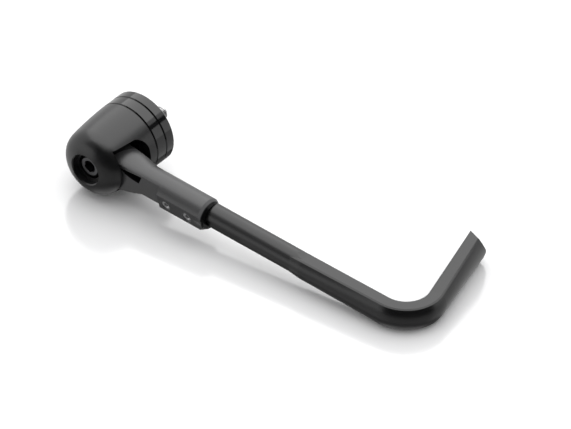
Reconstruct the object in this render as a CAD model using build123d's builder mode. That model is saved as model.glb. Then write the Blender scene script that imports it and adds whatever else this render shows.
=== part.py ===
"""Bar-end brake lever guard: a clamp body on the handlebar end carries an arm whose rod shields the lever.

Frame, in millimetres: +X runs forward along the arm, +Y runs along the handlebar towards the grip,
+Z is up, and the origin is the centre of the face that meets the end of the handlebar.
"""

import os
from math import radians, sqrt, tan

from build123d import *

# Turned stack on the handlebar axis
body_radius = 16.0
end_ring_length = 4.85
spacer_length = 5.6
cap_length = 26.55
cap_side_drop = 0.44
crown_length = 7.5
crown_drop = 1.35
knee_drop = 2.1
knee_rise = 2.0
crown_fullness = 0.75
edge_break = 0.45
cavity_radius = 10.0
end_wall = 3.7
boss_diameter = 14.0
boss_floor = 2.4
spigot_length = 4.1
post_diameter = 10.0
slip = 0.05

# Window in the side of the cap, through which the arm comes out
window_start_y = -31.15
window_length = 16.55
window_height = 22.0
window_corner_radius = 6.0

# Clamp bolt: M6 x 40 socket head screw, sunk in the domed end
bolt_diameter = 6.0
# pitch diameter of the M6 thread
bolt_thread_diameter = 5.35
bolt_length = 40.0
bolt_head_diameter = 10.0
bolt_head_height = 6.0
bolt_hex = 5.0
bolt_hex_depth = 3.0
bolt_head_chamfer = 0.5
bolt_tip_chamfer = 0.7
bolt_head_recess = 2.9
bolt_clearance = 6.5
recess_diameter = 13.5
head_bore_diameter = 11.0

# Arm: eye on the bolt, flared neck, and the sleeve that grips the rod
arm_y = -24.2
eye_radius = 9.6
neck_outer_y = -30.0
neck_inner_y = -19.5
neck_bottom = -4.2
neck_straight_x = 24.0
# place along the arm, height of the crest, of the inner edge and of the underside
neck_root = (0.0, 7.9, 6.6, -9.6)
neck_middle = (17.5, 7.2, 5.8, -6.7)
pocket_depth = 5.0
pocket_start = (12.5, 3.7)
pocket_heel = (22.4, 0.9)
pocket_end = (23.7, 4.7)
sleeve_start_x = 33.3
sleeve_end_x = 57.0
sleeve_radius = 7.0
sleeve_offset = 1.3
sleeve_flat = 5.6
sleeve_chamfer = 2.4
sleeve_nose = 1.5
bore_depth = 23.0

# Set screws: M4 hexagon socket, threaded through the thick side of the sleeve
set_screw_angle = 16.0
set_screw_diameter = 4.0
set_screw_hex = 2.0
set_screw_x = (37.2, 48.2)
set_screw_hex_depth = 1.2
set_screw_sink = 0.3
set_screw_recess = 0.2
set_screw_gap = 0.03

# Guard rod: round shank, then a flattened blade that turns in front of the lever
rod_diameter = 10.0
rod_start_x = 34.6
rod_end_chamfer = 0.6
rod_flat_depth = 0.5
rod_flat_end_x = 75.0
press_start_x = 96.0
blade_start_x = 105.0
blade_offset = 0.3
runout_radius = 30.0
bend_corner_x = 163.4
bend_radius = 13.6
bend_angle = 105.9
leg_length = 42.2
tip_slant = 0.66
tip_rake = 0.62
tip_upper_round = 1.5
tip_lower_round = 4.0
# heights of the upper and lower faces, width of those faces, and width at mid-height,
# all as shares of the rod's diameter
press_section = (0.40, -0.40, 0.46, 0.88)
root_section = (0.465, -0.485, 0.54, 1.01)
bend_section = (0.545, -0.545, 0.52, 0.88)
tip_section = (0.66, -0.89, 0.50, 0.76)

# Positions along the handlebar axis that follow from the stack
spacer_y = -end_ring_length
cap_y = spacer_y - spacer_length
rim_y = cap_y - cap_length
wall_y = rim_y + end_wall
spigot_y = cap_y - spigot_length
head_y = rim_y + bolt_head_recess
seat_y = head_y + bolt_head_height
boss_y = seat_y + boss_floor

os.makedirs("parts", exist_ok=True)

# The cap is a turned, hollow cover with a domed end. Its bore is open towards the grip.
with BuildPart() as end_cap:
    with BuildSketch(Plane.XY):
        with BuildLine():
            mouth = Line((cavity_radius, cap_y), (body_radius, cap_y))
            crown_y = rim_y + crown_length
            middle = (body_radius - cap_side_drop, (cap_y + crown_y) / 2)
            side = ThreePointArc(mouth @ 1, middle, (body_radius - crown_drop, crown_y))
            rim = Vector(recess_diameter / 2 + edge_break, rim_y)
            knee = Vector(body_radius - knee_drop, rim_y + knee_rise)
            crown_pull = side @ 1 + (knee - side @ 1) * crown_fullness
            rim_pull = rim + (knee - rim) * crown_fullness
            crown = Bezier(side @ 1, crown_pull, rim_pull, rim)
            Polyline(
                crown @ 1,
                (recess_diameter / 2, rim_y + edge_break),
                (recess_diameter / 2, head_y),
                (head_bore_diameter / 2, head_y),
                (head_bore_diameter / 2, wall_y),
                (cavity_radius, wall_y),
                mouth @ 0,
            )
        make_face()
        chamfer(vertices().sort_by_distance((body_radius, cap_y))[0], edge_break)
    revolve(axis=Axis.Y)
    with BuildSketch(Plane.YZ):
        with Locations((window_start_y, 0)):
            opening = Rectangle(window_length, window_height, align=(Align.MIN, Align.CENTER))
        fillet(opening.vertices().group_by(Axis.X)[-1], window_corner_radius)
    extrude(amount=2 * body_radius, mode=Mode.SUBTRACT)

    # Boss inside the end wall: the bolt head seats in it, and its end presses on the eye of the arm
    with BuildSketch(Plane.XY):
        with BuildLine():
            Polyline(
                (head_bore_diameter / 2, wall_y),
                (boss_diameter / 2, wall_y),
                (boss_diameter / 2, boss_y),
                (bolt_clearance / 2, boss_y),
                (bolt_clearance / 2, seat_y),
                (head_bore_diameter / 2, seat_y),
                close=True,
            )
        make_face()
    revolve(axis=Axis.Y)

end_cap.part.label = "end_cap"
export_step(end_cap.part, "parts/end_cap.step")

# The spacer plugs the bore of the cap with a spigot, and its post takes the clamp load from the arm.
with BuildPart() as spacer_ring:
    with BuildSketch(Plane.XY):
        with BuildLine():
            Polyline(
                (bolt_clearance / 2, neck_inner_y),
                (post_diameter / 2, neck_inner_y),
                (post_diameter / 2, spigot_y),
                (cavity_radius - slip, spigot_y),
                (cavity_radius - slip, cap_y),
                (body_radius, cap_y),
                (body_radius, spacer_y),
                (bolt_clearance / 2, spacer_y),
                close=True,
            )
        make_face()
        chamfer(vertices().group_by(Axis.X)[-1], edge_break)
    revolve(axis=Axis.Y)

spacer_ring.part.label = "spacer_ring"
export_step(spacer_ring.part, "parts/spacer_ring.step")

# The end ring meets the handlebar. Its outer edges are broken, so a thin groove shows at each joint.
with BuildPart() as end_ring:
    with BuildSketch(Plane.XY):
        with Locations((bolt_clearance / 2, spacer_y)):
            Rectangle(body_radius - bolt_clearance / 2, end_ring_length, align=(Align.MIN, Align.MIN))
        chamfer(vertices().group_by(Axis.X)[-1], edge_break)
    revolve(axis=Axis.Y)

end_ring.part.label = "end_ring"
export_step(end_ring.part, "parts/end_ring.step")

# The clamp bolt runs along the handlebar axis, and its end screws into the insert in the bar.
with BuildPart() as clamp_bolt:
    with BuildSketch(Plane.XY):
        with BuildLine():
            Polyline(
                (0, head_y),
                (bolt_head_diameter / 2, head_y),
                (bolt_head_diameter / 2, seat_y),
                (bolt_diameter / 2, seat_y),
                (bolt_diameter / 2, 0),
                (bolt_thread_diameter / 2, 0),
                (bolt_thread_diameter / 2, seat_y + bolt_length),
                (0, seat_y + bolt_length),
                close=True,
            )
        make_face()
        head_corner = vertices().sort_by_distance((bolt_head_diameter / 2, head_y))[0]
        chamfer(head_corner, bolt_head_chamfer)
        tip_corner = vertices().sort_by_distance((bolt_thread_diameter / 2, seat_y + bolt_length))[0]
        chamfer(tip_corner, bolt_tip_chamfer)
    revolve(axis=Axis.Y)
    with BuildSketch(Plane((0, head_y, 0), x_dir=(1, 0, 0), z_dir=(0, 1, 0))):
        RegularPolygon(bolt_hex / 2, 6, major_radius=False)
    extrude(amount=bolt_hex_depth, mode=Mode.SUBTRACT)

clamp_bolt.part.label = "clamp_bolt"
export_step(clamp_bolt.part, "parts/clamp_bolt.step")

# The arm is machined from one bar: an eye on the bolt, a flared neck, and the sleeve for the rod.
sleeve_y = arm_y - sleeve_offset
screw_side = Plane((0, arm_y, 0), x_dir=(1, 0, 0), z_dir=(0, -1, 0)).rotated((set_screw_angle, 0, 0))
flat_reach = sleeve_offset + sleeve_flat
screw_places = [(x, 0) for x in set_screw_x]


def bar_height(y):
    """Height of the round bar of the sleeve at the place y across it."""
    return sqrt(sleeve_radius**2 - (y - sleeve_y) ** 2)


with BuildPart() as arm:
    # Neck: the bar of the sleeve, milled flat outside, inside and underneath, flares towards the eye
    neck_end = (neck_straight_x, bar_height(arm_y), bar_height(neck_inner_y), neck_bottom)
    for x, crest, inner_top, bottom in (neck_root, neck_middle, neck_end):
        with BuildSketch(Plane.YZ.offset(x)):
            with BuildLine():
                outer_edge = (neck_outer_y, bar_height(neck_outer_y))
                top = ThreePointArc(outer_edge, (arm_y, crest), (neck_inner_y, inner_top))
                Polyline(top @ 1, (neck_inner_y, bottom), (neck_outer_y, bottom), top @ 0)
            make_face()
    loft()
    extrude(faces().sort_by(Axis.X)[-1], amount=sleeve_start_x + 1 - neck_straight_x)
    underside = faces().filter_by(lambda face: face.normal_at().Z < -0.7)
    chamfer(underside.edges().filter_by(lambda edge: edge.bounding_box().size.X > 1), edge_break)

    # Eye, counterbored to sit over the boss of the cap
    with BuildSketch(Plane((0, neck_outer_y, 0), x_dir=(1, 0, 0), z_dir=(0, 1, 0))):
        Circle(eye_radius)
    extrude(amount=neck_inner_y - neck_outer_y)
    with Locations(Plane((0, neck_outer_y, 0), x_dir=(1, 0, 0), z_dir=(0, -1, 0))):
        CounterBoreHole(bolt_clearance / 2, boss_diameter / 2 + slip, boss_y - neck_outer_y)

    # Sleeve, set off to one side so that its wall is thick where the set screws are
    with BuildSketch(Plane.XY):
        with BuildLine():
            Polyline(
                (sleeve_start_x, sleeve_y),
                (sleeve_start_x, sleeve_y + sleeve_radius),
                (sleeve_end_x - sleeve_chamfer, sleeve_y + sleeve_radius),
                (sleeve_end_x, sleeve_y + sleeve_radius - sleeve_nose),
                (sleeve_end_x, sleeve_y),
                close=True,
            )
        make_face()
    revolve(axis=Axis((0, sleeve_y, 0), (1, 0, 0)))
    with BuildSketch(screw_side.offset(flat_reach)):
        with Locations((sleeve_start_x, 0)):
            Rectangle(sleeve_end_x - sleeve_start_x, 2 * sleeve_radius, align=(Align.MIN, Align.CENTER))
    extrude(amount=sleeve_radius, mode=Mode.SUBTRACT)
    with Locations(Plane((sleeve_end_x, arm_y, 0), x_dir=(0, 1, 0), z_dir=(1, 0, 0))):
        Hole(rod_diameter / 2 + slip, bore_depth)
    hole_radius = set_screw_diameter / 2 + slip
    with Locations(screw_side.offset(flat_reach)):
        with Locations(*screw_places):
            CounterSinkHole(hole_radius, hole_radius + set_screw_sink, flat_reach, 90)

    # Relief pocket in the outer side of the neck
    with BuildSketch(Plane.XZ.offset(-neck_outer_y)):
        with BuildLine():
            floor = Spline(pocket_start, pocket_heel, tangents=[(1, -1), (1, 0)])
            Polyline(floor @ 1, pocket_end, floor @ 0)
        make_face()
    extrude(amount=-pocket_depth, mode=Mode.SUBTRACT)

arm.part.label = "arm"
export_step(arm.part, "parts/arm.step")

# Two set screws press on the flat of the rod.
rod_flat_reach = rod_diameter / 2 - rod_flat_depth
with BuildPart() as set_screws:
    with BuildSketch(screw_side.offset(rod_flat_reach + set_screw_gap)):
        with Locations(*screw_places):
            Circle(set_screw_diameter / 2)
    extrude(amount=flat_reach - set_screw_recess - rod_flat_reach - set_screw_gap)
    with BuildSketch(screw_side.offset(flat_reach - set_screw_recess)):
        with Locations(*screw_places):
            RegularPolygon(set_screw_hex / 2, 6, major_radius=False)
    extrude(amount=-set_screw_hex_depth, mode=Mode.SUBTRACT)

set_screws.part.label = "set_screws"
export_step(set_screws.part, "parts/set_screws.step")

# The guard rod is a round bar. Beyond its shank it is pressed into a blade: flat above and below,
# full at the sides, taller and thinner towards the tip, and bent round in front of the lever.
blade_y = arm_y - blade_offset


def blade_face(point, heading, section):
    """Face of the blade at a point of its path, square to the heading: flat above and below, full at the sides."""
    top, bottom, face_width, mid_width = (share * rod_diameter for share in section)
    middle = (top + bottom) / 2
    with BuildSketch(Plane(point, x_dir=heading.rotate(Axis.Z, 90), z_dir=heading)) as blade_sketch:
        with BuildLine():
            inner = ThreePointArc((face_width / 2, bottom), (mid_width / 2, middle), (face_width / 2, top))
            outer = ThreePointArc((-face_width / 2, top), (-mid_width / 2, middle), (-face_width / 2, bottom))
            Line(inner @ 1, outer @ 0)
            Line(outer @ 1, inner @ 0)
        make_face()
        chamfer(vertices(), edge_break)
    return blade_sketch.sketch.face()


with BuildPart() as guard_rod:
    with BuildSketch(Plane.YZ.offset(rod_start_x)):
        with Locations((arm_y, 0)):
            Circle(rod_diameter / 2)
    extrude(amount=blade_start_x - rod_start_x)
    chamfer(faces().sort_by(Axis.X)[0].edges(), rod_end_chamfer)

    # Flat under the set screws
    with BuildSketch(screw_side.offset(rod_flat_reach)):
        with Locations((rod_start_x, 0)):
            Rectangle(rod_flat_end_x - rod_start_x, rod_diameter, align=(Align.MIN, Align.CENTER))
    extrude(amount=rod_diameter, mode=Mode.SUBTRACT)

    # Run-outs above and below, where the round shank meets the flat faces of the blade
    with BuildSketch(Plane.XZ.offset(-arm_y)):
        for share, centre_side in ((root_section[0], 1), (root_section[1], -1)):
            with Locations((blade_start_x, share * rod_diameter + centre_side * runout_radius)):
                Circle(runout_radius)
    extrude(amount=rod_diameter, both=True, mode=Mode.SUBTRACT)

    # Blade: its edges grow out of the round bar, and it runs on through the bend
    with BuildLine():
        bend_start_x = bend_corner_x - bend_radius * tan(radians(bend_angle / 2))
        pressed = Line((press_start_x, blade_y), (blade_start_x, blade_y))
        straight = Line(pressed @ 1, (bend_start_x, blade_y))
        bend = JernArc(straight @ 1, straight % 1, bend_radius, bend_angle)
        leg = PolarLine(bend @ 1, leg_length + rod_diameter, direction=bend % 1)
    for span, start_section, end_section in (
        (pressed, press_section, root_section),
        (straight, root_section, bend_section),
        (leg, bend_section, tip_section),
    ):
        loft([blade_face(span @ 0, span % 0, start_section), blade_face(span @ 1, span % 1, end_section)])
    sweep(blade_face(bend @ 0, bend % 0, bend_section), path=bend)

    # Tip, cut off aslant in plan and in height, with rounded corners
    top, bottom = (share * rod_diameter for share in tip_section[:2])
    upper_corner = (-tip_rake * top, top)
    lower_corner = (-tip_rake * bottom, bottom)
    tip = bend @ 1 + leg % 1 * leg_length
    outward = (leg % 1).rotate(Axis.Z, -90)
    with BuildSketch(Plane(tip, x_dir=leg % 1, z_dir=outward)):
        with BuildLine():
            Polyline(
                (-leg_length / 2, top),
                upper_corner,
                lower_corner,
                (-leg_length / 2, bottom),
                (-leg_length / 2, -leg_length),
                (leg_length, -leg_length),
                (leg_length, leg_length),
                (-leg_length / 2, leg_length),
                close=True,
            )
        make_face()
        fillet(vertices().sort_by_distance(upper_corner)[0], tip_upper_round)
        fillet(vertices().sort_by_distance(lower_corner)[0], tip_lower_round)
    extrude(amount=rod_diameter, dir=outward - leg % 1 * tip_slant, both=True, mode=Mode.SUBTRACT)

guard_rod.part.label = "guard_rod"
export_step(guard_rod.part, "parts/guard_rod.step")
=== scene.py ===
import bpy
import numpy as np
from mathutils import Matrix, Vector


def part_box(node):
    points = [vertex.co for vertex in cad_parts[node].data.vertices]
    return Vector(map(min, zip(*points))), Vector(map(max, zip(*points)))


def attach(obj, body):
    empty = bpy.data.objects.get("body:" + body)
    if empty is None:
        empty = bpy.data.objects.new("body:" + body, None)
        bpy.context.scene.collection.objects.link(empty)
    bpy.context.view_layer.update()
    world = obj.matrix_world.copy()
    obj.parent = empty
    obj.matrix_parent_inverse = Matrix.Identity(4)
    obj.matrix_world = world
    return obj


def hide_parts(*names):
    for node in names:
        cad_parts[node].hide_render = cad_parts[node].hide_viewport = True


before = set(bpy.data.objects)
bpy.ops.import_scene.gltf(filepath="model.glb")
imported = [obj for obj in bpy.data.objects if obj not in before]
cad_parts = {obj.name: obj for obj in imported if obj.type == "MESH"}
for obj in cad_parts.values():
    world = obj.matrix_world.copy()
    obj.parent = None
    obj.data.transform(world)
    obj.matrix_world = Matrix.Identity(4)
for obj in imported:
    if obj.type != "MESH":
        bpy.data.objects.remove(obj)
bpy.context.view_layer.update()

# End cap: a domed aluminium cover, turned hollow, with a window milled in its side for the arm.
# It is blasted to an even matt skin and then anodised black, so it shines softly like slate.
MM = 0.001
BLACK_OXIDE = (0.003, 0.003, 0.0033, 1.0)
WORN_OXIDE = (0.007, 0.007, 0.0075, 1.0)
OXIDE_IOR = 1.60
CLOUDS_PER_METRE = 55.0
CLOUD_DETAIL = 4.0
BLAST_GRAINS_PER_METRE = 2600.0
BLAST_GRAIN_DETAIL = 2.0
BLAST_DENT_DEPTH = 0.05 * MM
BLAST_DENT_STRENGTH = 0.32
BLAST_GLOSS_SPREAD = 0.05
CAP_ROUGHNESS = 0.30


def add_node(owner, kind, **inputs):
    """Add one shader node to a material or a world and set the sockets that are named."""
    node = owner.node_tree.nodes.new(kind)
    for socket, value in inputs.items():
        node.inputs[socket.replace("_", " ")].default_value = value
    return node


def plain_material(name):
    """A new node material, with its surface shader and its Object coordinates."""
    material = bpy.data.materials.new(name)
    material.use_nodes = True
    shader = material.node_tree.nodes["Principled BSDF"]
    place = add_node(material, "ShaderNodeTexCoord").outputs["Object"]
    return material, shader, place


def clouds_in_space(material, place, per_metre, detail):
    """A soft random field in space, from 0 to 1, with so many clouds per metre."""
    noise = add_node(material, "ShaderNodeTexNoise", Scale=per_metre, Detail=detail)
    material.node_tree.links.new(place, noise.inputs["Vector"])
    return noise.outputs["Fac"]


def spread(owner, factor, low, high):
    """Map a factor from 0..1 to the range low..high."""
    node = add_node(owner, "ShaderNodeMapRange", To_Min=low, To_Max=high)
    owner.node_tree.links.new(factor, node.inputs["Value"])
    return node.outputs["Result"]


def blended_tone(material, factor, first, second):
    """Blend from the first colour to the second as a factor goes from 0 to 1."""
    node = add_node(material, "ShaderNodeMix")
    node.data_type = "RGBA"
    node.inputs["A"].default_value = first
    node.inputs["B"].default_value = second
    material.node_tree.links.new(factor, node.inputs["Factor"])
    return node.outputs["Result"]


def relief(material, height, strength, depth):
    """A surface normal that follows a height field from 0 to 1, as deep as the given depth."""
    node = add_node(material, "ShaderNodeBump", Strength=strength, Distance=depth)
    material.node_tree.links.new(height, node.inputs["Height"])
    return node.outputs["Normal"]


def blasted_black(name, dark, worn, roughness, ior):
    """Black anodised skin over blasted metal: cloudy tone, uneven gloss, and a grain of fine dents."""
    material, shader, place = plain_material(name)
    link = material.node_tree.links.new
    clouds = clouds_in_space(material, place, CLOUDS_PER_METRE, CLOUD_DETAIL)
    grain = clouds_in_space(material, place, BLAST_GRAINS_PER_METRE, BLAST_GRAIN_DETAIL)
    gloss = spread(material, clouds, roughness - BLAST_GLOSS_SPREAD, roughness + BLAST_GLOSS_SPREAD)
    dents = relief(material, grain, BLAST_DENT_STRENGTH, BLAST_DENT_DEPTH)
    link(blended_tone(material, clouds, dark, worn), shader.inputs["Base Color"])
    link(gloss, shader.inputs["Roughness"])
    link(dents, shader.inputs["Normal"])
    shader.inputs["IOR"].default_value = ior
    return material


def finish(piece, *materials):
    """Give a piece its materials. Its faces take the first one, unless they are told another."""
    piece.data.materials.clear()
    for material in materials:
        piece.data.materials.append(material)


body_black = blasted_black("blasted_black", BLACK_OXIDE, WORN_OXIDE, CAP_ROUGHNESS, OXIDE_IOR)
finish(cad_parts["end_cap"], body_black)

# Spacer ring and end ring: two aluminium rings on the handlebar axis, turned on a lathe and anodised
# without blasting, so the fine tool marks run round them and they shine more than the cap.
TOOL_MARK_PITCH = 0.754 * MM
TOOL_MARK_WANDER = 0.6
TOOL_MARK_DEPTH = 0.02 * MM
TOOL_MARK_STRENGTH = 0.10
WAVE_RADIANS_PER_SCALE = 20.0
RING_ROUGHNESS = 0.10
RING_GLOSS_SPREAD = 0.03


def turned_black(name):
    """Black anodised skin over turned metal: tool marks run round the Y axis, one per feed of the tool."""
    material, shader, place = plain_material(name)
    link = material.node_tree.links.new
    marks_scale = 2 * np.pi / (WAVE_RADIANS_PER_SCALE * TOOL_MARK_PITCH)
    marks = add_node(material, "ShaderNodeTexWave", Scale=marks_scale, Distortion=TOOL_MARK_WANDER)
    marks.bands_direction = "Y"
    link(place, marks.inputs["Vector"])
    clouds = clouds_in_space(material, place, CLOUDS_PER_METRE, CLOUD_DETAIL)
    gloss = spread(material, clouds, RING_ROUGHNESS - RING_GLOSS_SPREAD, RING_ROUGHNESS + RING_GLOSS_SPREAD)
    ridges = relief(material, marks.outputs["Fac"], TOOL_MARK_STRENGTH, TOOL_MARK_DEPTH)
    link(blended_tone(material, clouds, BLACK_OXIDE, WORN_OXIDE), shader.inputs["Base Color"])
    link(gloss, shader.inputs["Roughness"])
    link(ridges, shader.inputs["Normal"])
    shader.inputs["IOR"].default_value = OXIDE_IOR
    return material


ring_black = turned_black("turned_black")
for ring in ("spacer_ring", "end_ring"):
    finish(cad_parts[ring], ring_black)

# Clamp bolt: an M6 socket head screw of steel, blackened at the head and bare along the thread. It goes
# in through the domed end of the cap and screws into the handlebar, so its end stands out of the rings.
BOLT_HEAD_RADIUS = 5.0 * MM
BOLT_HEAD_HEIGHT = 6.0 * MM
BOLT_HEAD_CHAMFER = 0.9 * MM
BOLT_HEX = 5.0 * MM
BOLT_HEX_DEPTH = 3.0 * MM
BOLT_MOUTH_RADIUS = 2.75 * MM
BOLT_MOUTH_DEPTH = 0.3 * MM
BOLT_SHANK_RADIUS = 2.8 * MM
BOLT_PITCH = 1.0 * MM
BOLT_THREAD_DEPTH = 0.55 * MM
BOLT_CHAMFER = 0.7 * MM
THREAD_ROWS_PER_PITCH = 12
GROOVE_PEAK = 1.25
GROOVE_FALL = 2.9
ALONG_Y = ((1, 0, 0), (0, 0, 1), (0, -1, 0))
SIDES = 96
SHARP_EDGE = np.radians(30.0)
STEEL = (0.78, 0.78, 0.78, 1.0)
DULL_STEEL = (0.60, 0.60, 0.605, 1.0)
BLACKENED_STEEL = (0.18, 0.18, 0.185, 1.0)
DULL_BLACKENED = (0.11, 0.11, 0.115, 1.0)
STEEL_CLOUDS_PER_METRE = 400.0
STEEL_GLOSS_SPREAD = 0.08
THREAD_ROUGHNESS = 0.30
HEAD_ROUGHNESS = 0.32


def cloudy_steel(name, dull, clean, roughness):
    """Machined steel: a tone that drifts from dull to clean in small clouds, and uneven gloss."""
    material, shader, place = plain_material(name)
    link = material.node_tree.links.new
    clouds = clouds_in_space(material, place, STEEL_CLOUDS_PER_METRE, CLOUD_DETAIL)
    gloss = spread(material, clouds, roughness - STEEL_GLOSS_SPREAD, roughness + STEEL_GLOSS_SPREAD)
    link(blended_tone(material, clouds, dull, clean), shader.inputs["Base Color"])
    link(gloss, shader.inputs["Roughness"])
    shader.inputs["Metallic"].default_value = 1.0
    return material


def side_angles():
    """The angles of the points in one row round an axis."""
    return np.linspace(0, 2 * np.pi, SIDES, endpoint=False)


def hexagon(across_flats):
    """Radii of a hexagon: half the flats' distance over the cosine of the angle to the nearest flat."""
    return across_flats / 2 / np.cos((side_angles() + np.pi / 6) % (np.pi / 3) - np.pi / 6)


def ring_rows(radii, heights):
    """Rows of points round the Z axis, one row for each radius (a number or one per side) and height."""
    angle = side_angles()
    radius = np.stack([np.broadcast_to(r, SIDES) for r in radii])
    height = np.stack([np.broadcast_to(h, SIDES) for h in heights])
    return np.stack([radius * np.cos(angle), radius * np.sin(angle), height], axis=2)


def thread_rows(radius, depth, pitch, start, end):
    """Rows of a helical thread: the radius falls by a V of the given depth once per pitch along the axis.

    The V follows the distance along the axis less one pitch per turn. Its crest and its root are cut
    flat, and it fades out over a pitch at both ends.
    """
    angle = side_angles()
    row_count = int(round((end - start) / pitch * THREAD_ROWS_PER_PITCH)) + 1
    height = np.linspace(start, end, row_count)[:, None]
    phase = (height / pitch - angle / (2 * np.pi)) % 1.0
    groove = np.clip(GROOVE_PEAK - np.abs(phase - 0.5) * GROOVE_FALL, 0.0, 1.0)
    fade = np.clip(np.minimum(height - start, end - height) / pitch, 0.0, 1.0)
    r = radius - depth * groove * fade
    return np.stack([r * np.cos(angle), r * np.sin(angle), np.broadcast_to(height, r.shape)], axis=2)


def closed_turning(name, rows, turn, place):
    """A closed mesh from rows of points round an axis, with a pole at each end, turned and put in place."""
    flat = rows.reshape(-1, 3)
    poles = np.array([[0, 0, rows[0, 0, 2]], [0, 0, rows[-1, 0, 2]]])
    points = np.concatenate([flat, poles]) @ np.array(turn).T + np.array(place)
    here = np.arange(SIDES)
    after = (here + 1) % SIDES
    row = (np.arange(len(rows) - 1) * SIDES)[:, None]
    quads = np.stack([row + here, row + after, row + SIDES + after, row + SIDES + here], axis=2)
    last_row = (len(rows) - 1) * SIDES
    first_cap = np.stack([after, here, np.full(SIDES, len(flat))], axis=1)
    last_cap = np.stack([last_row + here, last_row + after, np.full(SIDES, len(flat) + 1)], axis=1)
    faces = quads.reshape(-1, 4).tolist() + first_cap.tolist() + last_cap.tolist()
    mesh = bpy.data.meshes.new(name)
    mesh.from_pydata(points.tolist(), [], faces)
    mesh.shade_smooth()
    mesh.set_sharp_from_angle(angle=SHARP_EDGE)
    piece = bpy.data.objects.new(name, mesh)
    bpy.context.scene.collection.objects.link(piece)
    return piece


def face_centres(piece):
    """The centres of a piece's faces, one row each."""
    centres = np.empty(len(piece.data.polygons) * 3)
    piece.data.polygons.foreach_get("center", centres)
    return centres.reshape(-1, 3)


bolt_low, bolt_high = (Vector(corner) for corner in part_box("clamp_bolt"))
bolt_length = bolt_high.y - bolt_low.y
hex_rim = hexagon(BOLT_HEX)
hex_mouth = np.maximum(hex_rim, BOLT_MOUTH_RADIUS)
socket_end = ring_rows(
    [hex_rim, hex_rim, hex_mouth, BOLT_HEAD_RADIUS - BOLT_HEAD_CHAMFER, BOLT_HEAD_RADIUS],
    [BOLT_HEX_DEPTH, BOLT_MOUTH_DEPTH, 0.0, 0.0, BOLT_HEAD_CHAMFER],
)
under_head = ring_rows([BOLT_HEAD_RADIUS, BOLT_SHANK_RADIUS], [BOLT_HEAD_HEIGHT, BOLT_HEAD_HEIGHT])
thread = thread_rows(
    BOLT_SHANK_RADIUS,
    BOLT_THREAD_DEPTH,
    BOLT_PITCH,
    start=-bolt_low.y - BOLT_PITCH,
    end=bolt_length - BOLT_CHAMFER,
)
tip = ring_rows([BOLT_SHANK_RADIUS - BOLT_CHAMFER], [bolt_length])
bolt = closed_turning(
    "threaded_bolt",
    np.concatenate([socket_end, under_head, thread, tip]),
    ALONG_Y,
    (0, bolt_low.y, 0),
)
bright_steel = cloudy_steel("bright_steel", DULL_STEEL, STEEL, THREAD_ROUGHNESS)
black_steel = cloudy_steel("blackened_steel", DULL_BLACKENED, BLACKENED_STEEL, HEAD_ROUGHNESS)
finish(bolt, bright_steel, black_steel)
on_head = face_centres(bolt)[:, 1] < bolt_low.y + BOLT_HEAD_HEIGHT + BOLT_PITCH
bolt.data.polygons.foreach_set("material_index", on_head.astype(np.int32))
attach(bolt, "clamp_body")
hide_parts("clamp_bolt")

# Arm: one machined aluminium piece with an eye on the bolt, a flared neck and a sleeve for the rod. It is
# blasted and anodised a little lighter than the cap. The nose of the sleeve is smooth, with a painted
# highlight along its front edge and painted shade, nearly black, beyond it; the relief pocket and the root
# of the neck are painted shade, dull black.
ARM_OXIDE = (0.026, 0.026, 0.027, 1.0)
WORN_ARM_OXIDE = (0.036, 0.036, 0.037, 1.0)
ARM_IOR = 1.68
ARM_ROUGHNESS = 0.33
# Painted shade on the root of the neck, behind an upright plane across it, where the window's gap is dark.
ROOT_ACROSS = (0.893, -0.453, 0.0)
ROOT_END = 19.6 * MM
ROOT_EDGE = 0.1 * MM
ROOT_ROUGHNESS = 1.0
# Painted highlight: a grey band on the front edge of the nose. The rest of the nose gets painted shade,
# black with a weak shine.
NOSE_PAINTED_HIGHLIGHT = (0.10, 0.10, 0.102, 1.0)
NOSE_IOR = 1.20
NOSE_ROUGHNESS = 0.20
NOSE_START = 54.5 * MM
NOSE_EDGE_END = 55.8 * MM
NOSE_EDGE_FADE = 0.2 * MM
# Painted shade in the relief pocket: a darker black than the arm, with a weak, rough shine.
POCKET_IOR = 1.15
POCKET_ROUGHNESS = 0.50
POCKET_LOW = (12.0 * MM, -29.9 * MM, 0.0)
POCKET_HIGH = (24.0 * MM, -24.9 * MM, 4.75 * MM)
NOSE_FACES = 1
POCKET_FACES = 2


def step_at(material, distance, place, half_width):
    """A factor that goes from 0 to 1 where a distance passes a place, over twice the half width."""
    node = add_node(
        material, "ShaderNodeMapRange", From_Min=place - half_width, From_Max=place + half_width
    )
    material.node_tree.links.new(distance, node.inputs["Value"])
    return node.outputs["Result"]


def paint_root_shade(material):
    """Paint shade on the root of the neck: dull black behind an upright plane that crosses the neck."""
    link = material.node_tree.links.new
    shader = material.node_tree.nodes["Principled BSDF"]
    place = material.node_tree.nodes["Texture Coordinate"].outputs["Object"]
    across = add_node(material, "ShaderNodeVectorMath")
    across.operation = "DOT_PRODUCT"
    across.inputs[1].default_value = ROOT_ACROSS
    link(place, across.inputs[0])
    past_root = step_at(material, across.outputs["Value"], ROOT_END, ROOT_EDGE)
    tone = add_node(material, "ShaderNodeMix")
    tone.data_type = "RGBA"
    tone.inputs["A"].default_value = BLACK_OXIDE
    gloss = add_node(material, "ShaderNodeMix", A=ROOT_ROUGHNESS)
    for blend, socket in ((tone, "Base Color"), (gloss, "Roughness")):
        link(shader.inputs[socket].links[0].from_socket, blend.inputs["B"])
        link(past_root, blend.inputs["Factor"])
        link(blend.outputs["Result"], shader.inputs[socket])


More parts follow.
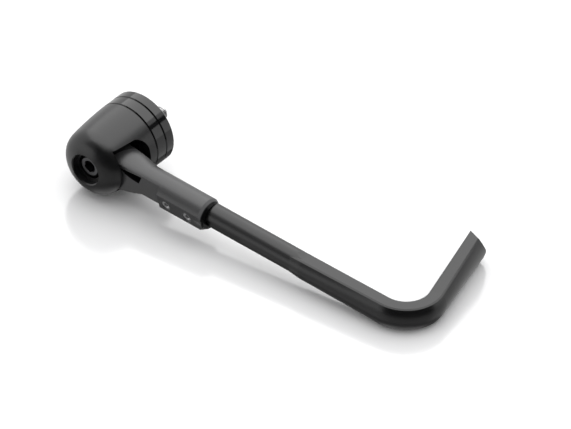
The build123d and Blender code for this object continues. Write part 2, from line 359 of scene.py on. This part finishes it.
def paint_nose_highlight_and_shade(name):
    """Nose of the sleeve with painted light: a grey painted highlight on the front edge, then painted
    shade, black, along X to the rod.
    """
    material, shader, place = plain_material(name)
    link = material.node_tree.links.new
    along = add_node(material, "ShaderNodeSeparateXYZ")
    link(place, along.inputs["Vector"])
    past_edge = step_at(material, along.outputs["X"], NOSE_EDGE_END, NOSE_EDGE_FADE)
    link(blended_tone(material, past_edge, NOSE_PAINTED_HIGHLIGHT, BLACK_OXIDE), shader.inputs["Base Color"])
    shader.inputs["Roughness"].default_value = NOSE_ROUGHNESS
    shader.inputs["IOR"].default_value = NOSE_IOR
    return material


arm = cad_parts["arm"]
arm_black = blasted_black("coarse_blasted_black", ARM_OXIDE, WORN_ARM_OXIDE, ARM_ROUGHNESS, ARM_IOR)
# Painted shade: the root of the neck is made dull black.
paint_root_shade(arm_black)
# The nose material paints a highlight on the front edge and shade on the chamfer towards the rod.
nose_painted_light = paint_nose_highlight_and_shade("nose_painted_highlight_and_shade")
# Painted shade: the relief pocket is given the cap's darker black and a weak shine.
pocket_painted_shade = blasted_black("pocket_painted_shade", BLACK_OXIDE, WORN_OXIDE, POCKET_ROUGHNESS, POCKET_IOR)
finish(arm, arm_black, nose_painted_light, pocket_painted_shade)
centres = face_centres(arm)
on_nose = centres[:, 0] > NOSE_START
in_pocket = ((centres > POCKET_LOW) & (centres < POCKET_HIGH)).all(axis=1)
arm_faces = np.select([on_nose, in_pocket], [NOSE_FACES, POCKET_FACES], default=0)
arm.data.polygons.foreach_set("material_index", arm_faces.astype(np.int32))

# Set screws: two M4 socket screws of dull steel in the thick side of the sleeve, with dished ends. They
# press on a flat of the rod and hold it at the length that the rider needs.
SCREW_RADIUS = 2.0 * MM
SCREW_HEX = 2.0 * MM
SCREW_HEX_DEPTH = 1.2 * MM
SCREW_CHAMFER = 0.2 * MM
SCREW_DISH_RADIUS = 1.45 * MM
SCREW_DISH_DEPTH = 0.4 * MM
SCREW_TILT = np.radians(16.0)
SCREW_END_BAND = 0.01 * MM
SCREW_STEEL = (0.52, 0.52, 0.525, 1.0)
SCREW_ROUGHNESS = 0.50


def corner_points(piece):
    """The corners of a piece's mesh, one row each."""
    corners = np.empty(len(piece.data.vertices) * 3)
    piece.data.vertices.foreach_get("co", corners)
    return corners.reshape(-1, 3)


screw_out = np.array([0.0, -np.cos(SCREW_TILT), -np.sin(SCREW_TILT)])
corners = corner_points(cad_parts["set_screws"])
reach = corners @ screw_out
screw_length = reach.max() - reach.min()
middle_y, middle_z = corners[reach > reach.max() - SCREW_END_BAND][:, 1:].mean(axis=0)
screw_hex_rim = hexagon(SCREW_HEX)
screw_rows = ring_rows(
    [
        screw_hex_rim,
        screw_hex_rim,
        SCREW_DISH_RADIUS,
        SCREW_RADIUS - SCREW_CHAMFER,
        SCREW_RADIUS,
        SCREW_RADIUS,
        SCREW_RADIUS - SCREW_CHAMFER,
    ],
    [
        SCREW_HEX_DEPTH,
        SCREW_DISH_DEPTH,
        0.0,
        0.0,
        SCREW_CHAMFER,
        screw_length - SCREW_CHAMFER,
        screw_length,
    ],
)
inward = -screw_out
along_sleeve = np.array([1.0, 0.0, 0.0])
screw_turn = np.stack([along_sleeve, np.cross(inward, along_sleeve), inward], axis=1)
screw_steel = cloudy_steel("screw_steel", DULL_STEEL, SCREW_STEEL, SCREW_ROUGHNESS)
for name, x in (
    ("inner_set_screw", corners[:, 0].min() + SCREW_RADIUS),
    ("outer_set_screw", corners[:, 0].max() - SCREW_RADIUS),
):
    screw = closed_turning(name, screw_rows, screw_turn, (x, middle_y, middle_z))
    finish(screw, screw_steel)
    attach(screw, "clamp_body")
    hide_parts("set_screws")

# Guard rod: a round aluminium bar, pressed into a blade beyond its shank and bent round in front of the
# lever. It is blasted and anodised black like the cap, and slides in the sleeve.
finish(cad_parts["guard_rod"], body_black)

# Table top: a white, gently glossy board that the guard lies on, so it gives a faint mirror image. The
# guard rests on its cap and on the bend of the rod, so the board is tilted a little in the guard's frame.
# The guard itself mirrors the cards under the board, and not the board.
TABLE_NORMAL = Vector((-0.0608, 0.0570, 0.9965)).normalized()
TABLE_SIZE = 8.0
TABLE_WHITE = (0.87, 0.87, 0.875, 1.0)
TABLE_ROUGHNESS = 0.16
TABLE_IOR = 1.9

lowest = min((corner_points(node) @ np.array(TABLE_NORMAL)).min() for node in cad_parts.values())
bpy.ops.mesh.primitive_plane_add(size=TABLE_SIZE)
table = bpy.context.object
table.name = "table_top"
table.rotation_mode = "QUATERNION"
table.rotation_quaternion = TABLE_NORMAL.to_track_quat("Z", "Y")
table.location = TABLE_NORMAL * lowest
board, board_shader, _ = plain_material("glossy_white_board")
board_shader.inputs["Base Color"].default_value = TABLE_WHITE
board_shader.inputs["Roughness"].default_value = TABLE_ROUGHNESS
board_shader.inputs["IOR"].default_value = TABLE_IOR
finish(table, board)
table.visible_glossy = False

# Studio: a white room with one large softbox overhead, which leans to the far side. Curved cards of
# several greys stand round the guard and under it. They show in reflections only, and draw the dark
# lines along the rod and the rings and the dimmer light along the lower edges.
SOFTBOX_SIDE = 2.3
SOFTBOX_DISTANCE = 1.3
SOFTBOX_FROM = Vector((-0.20, 0.42, 0.88)).normalized()
SOFTBOX_RADIANCE = 1.20
CARD_RADIUS = 1.7
CARD_COLUMNS = 32
CARD_BLACK = (0.01, 0.01, 0.01, 1.0)
WHITE = (1.0, 1.0, 1.0, 1.0)
ROOM_FILL = 0.72

lamp = bpy.data.lights.new("softbox", "AREA")
lamp.shape = "SQUARE"
lamp.size = SOFTBOX_SIDE
lamp.energy = SOFTBOX_RADIANCE * np.pi * SOFTBOX_SIDE**2
softbox = bpy.data.objects.new("softbox", lamp)
softbox.location = SOFTBOX_FROM * SOFTBOX_DISTANCE
softbox.rotation_mode = "QUATERNION"
softbox.rotation_quaternion = SOFTBOX_FROM.to_track_quat("Z", "Y")
softbox.visible_camera = False
bpy.context.scene.collection.objects.link(softbox)


def curved_card(name, grey, from_azimuth, to_azimuth, from_elevation, to_elevation):
    """A card bent round the guard: a part of an upright cylinder between two azimuths and two elevations.

    The angles are in degrees. The card shows in reflections only, as bright as its grey.
    """
    azimuth, elevation = np.meshgrid(
        np.radians(np.linspace(from_azimuth, to_azimuth, CARD_COLUMNS + 1)),
        np.radians([from_elevation, to_elevation]),
    )
    points = CARD_RADIUS * np.stack([np.cos(azimuth), np.sin(azimuth), np.tan(elevation)], axis=2)
    low = np.arange(CARD_COLUMNS)
    high = low + CARD_COLUMNS + 1
    faces = np.stack([low, low + 1, high + 1, high], axis=1)
    mesh = bpy.data.meshes.new(name)
    mesh.from_pydata(points.reshape(-1, 3).tolist(), [], faces.tolist())
    card = bpy.data.objects.new(name, mesh)
    card.visible_camera = False
    card.visible_diffuse = False
    card.visible_shadow = False
    bpy.context.scene.collection.objects.link(card)
    felt, shader, _ = plain_material(name + "_felt")
    shader.inputs["Base Color"].default_value = CARD_BLACK
    shader.inputs["Specular IOR Level"].default_value = 0.0
    shader.inputs["Emission Color"].default_value = WHITE
    shader.inputs["Emission Strength"].default_value = grey
    finish(card, felt)


curved_card("front_card", 0.0, 258.0, 380.0, -12.0, 58.0)
curved_card("side_card", 0.30, 226.0, 258.0, 17.0, 58.0)
curved_card("right_card", 0.0, 20.0, 80.0, 24.0, 34.0)
curved_card("side_under_card", 0.45, 222.0, 270.0, -50.0, -12.0)
curved_card("front_under_card", 0.36, 270.0, 380.0, -50.0, -12.0)
curved_card("right_under_card", 0.60, 20.0, 120.0, -50.0, -2.0)
curved_card("back_under_card", 0.88, 120.0, 222.0, -50.0, -15.0)
curved_card("near_under_card", 0.15, 0.0, 360.0, -68.0, -50.0)
curved_card("low_under_card", 0.60, 0.0, 360.0, -88.0, -68.0)

room = bpy.data.worlds.new("white_room")
bpy.context.scene.world = room
room.use_nodes = True
backing = room.node_tree.nodes["Background"]
backing.inputs["Color"].default_value = WHITE
paths = add_node(room, "ShaderNodeLightPath")
seen = paths.outputs["Is Camera Ray"]
for kind in ("Is Glossy Ray", "Is Transmission Ray"):
    either = add_node(room, "ShaderNodeMath")
    either.operation = "MAXIMUM"
    room.node_tree.links.new(seen, either.inputs[0])
    room.node_tree.links.new(paths.outputs[kind], either.inputs[1])
    seen = either.outputs["Value"]
room.node_tree.links.new(spread(room, seen, ROOM_FILL, 1.0), backing.inputs["Strength"])

# Camera: a long lens that looks down on the guard from the dome's side of the cap. It stands far back,
# so the guard is drawn nearly without perspective.
CAMERA_RIGHT = Vector((0.7692, 0.6386, 0.0218))
CAMERA_UP = Vector((-0.4281, 0.4895, 0.7599))
CAMERA_DISTANCE = 6.0
VIEW_WIDTH = 230.8 * MM
AIM_RIGHT = 57.1 * MM
AIM_UP = -36.0 * MM
SENSOR_WIDTH = 36.0
FARTHEST_SEEN = 20.0

right = CAMERA_RIGHT.normalized()
up = (CAMERA_UP - CAMERA_UP.dot(right) * right).normalized()
back = right.cross(up)
lens = bpy.data.cameras.new("long_lens")
lens.sensor_width = SENSOR_WIDTH
lens.lens = SENSOR_WIDTH * CAMERA_DISTANCE / VIEW_WIDTH
lens.clip_end = FARTHEST_SEEN
camera = bpy.data.objects.new("camera", lens)
stand = Matrix((right, up, back)).transposed().to_4x4()
stand.translation = right * AIM_RIGHT + up * AIM_UP + back * CAMERA_DISTANCE
camera.matrix_world = stand
bpy.context.scene.collection.objects.link(camera)
bpy.context.scene.camera = camera
bpy.context.scene.view_settings.view_transform = "Standard"
